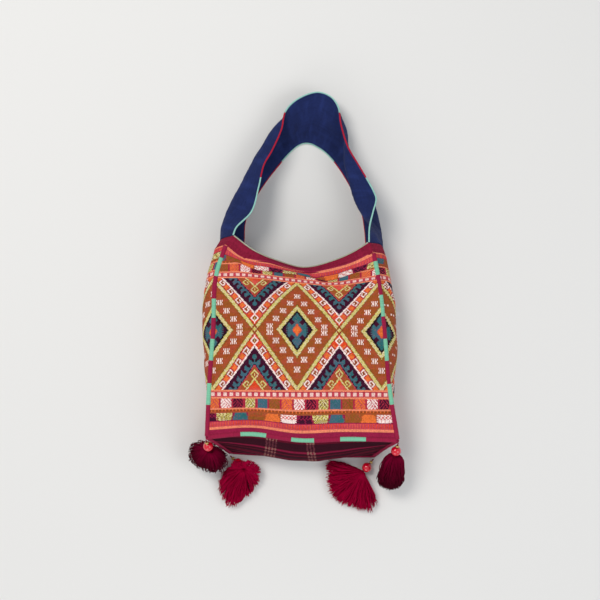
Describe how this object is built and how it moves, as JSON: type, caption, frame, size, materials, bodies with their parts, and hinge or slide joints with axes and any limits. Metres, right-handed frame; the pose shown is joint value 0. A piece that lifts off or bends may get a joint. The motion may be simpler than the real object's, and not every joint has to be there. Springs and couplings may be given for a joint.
{
  "type": "woven shoulder bag",
  "caption": "Boxy flat-woven shoulder bag lying on its back, with brocaded diamond panels, a hemmed mouth, a broad cloth strap and a beaded yarn tassel at each bottom corner.",
  "frame": {"origin": "on the underside of the back panel, near its centre, on the surface the bag lies on", "axes": "+Z is the front panel's outward normal, +Y runs from the bottom of the bag to the mouth and strap, +X is to the right when facing the front"},
  "size_m": [0.3528, 0.6868, 0.0889],
  "materials": {
    "brocade": "matte, coarse supplementary-weft brocade",
    "striped_cloth": "matte plain weave with dark stripes",
    "hem_cloth": "matte fine ribbed weave",
    "seam_yarn": "matte overcast yarn, mint and magenta by turns",
    "edging_yarn": "matte fine overcast yarn, mint and crimson by turns",
    "strap_cloth": "matte plain-weave cotton",
    "tassel_yarn": "soft spun yarn",
    "red_bead": "glossy",
    "brass": "polished"
  },
  "bodies": {
    "bag": {"front_panel": "brocade", "back_panel": "brocade", "left_gusset": "brocade", "right_gusset": "brocade", "bottom_panel": "striped_cloth", "mouth_band": "hem_cloth", "front_seam_left": "seam_yarn", "front_seam_right": "seam_yarn", "front_seam_bottom": "seam_yarn", "back_seam_left": "seam_yarn", "back_seam_right": "seam_yarn", "back_seam_bottom": "seam_yarn", "corner_seam_left": "seam_yarn", "corner_seam_right": "seam_yarn", "mouth_edging_front": "edging_yarn", "mouth_edging_back": "edging_yarn", "strap": "strap_cloth", "strap_edging_front": "edging_yarn", "strap_edging_back": "edging_yarn"},
    "front_left_hanging": {"front_left_tassel_cord": "tassel_yarn", "front_left_brass_bead": "brass", "front_left_red_bead": "red_bead", "front_left_tassel": "tassel_yarn"},
    "front_right_hanging": {"front_right_tassel_cord": "tassel_yarn", "front_right_brass_bead": "brass", "front_right_red_bead": "red_bead", "front_right_tassel": "tassel_yarn"},
    "back_left_hanging": {"back_left_tassel_cord": "tassel_yarn", "back_left_brass_bead": "brass", "back_left_red_bead": "red_bead", "back_left_tassel": "tassel_yarn"},
    "back_right_hanging": {"back_right_tassel_cord": "tassel_yarn", "back_right_brass_bead": "brass", "back_right_red_bead": "red_bead", "back_right_tassel": "tassel_yarn"}
  },
  "joints": [
    {"name": "front_left_swing", "type": "hinge", "parent": "bag", "child": "front_left_hanging", "pos_m": [-0.152, -0.1525, 0.08], "axis": [-1, 0, 0], "range_deg": [0, 90]},
    {"name": "front_right_swing", "type": "hinge", "parent": "bag", "child": "front_right_hanging", "pos_m": [0.1525, -0.157, 0.08], "axis": [-1, 0, 0], "range_deg": [0, 80]},
    {"name": "back_left_swing", "type": "hinge", "parent": "bag", "child": "back_left_hanging", "pos_m": [-0.118, -0.1875, 0.0096], "axis": [-1, 0, 0], "range_deg": [0, 55]},
    {"name": "back_right_swing", "type": "hinge", "parent": "bag", "child": "back_right_hanging", "pos_m": [0.118, -0.193, 0.0096], "axis": [-1, 0, 0], "range_deg": [0, 55]}
  ]
}
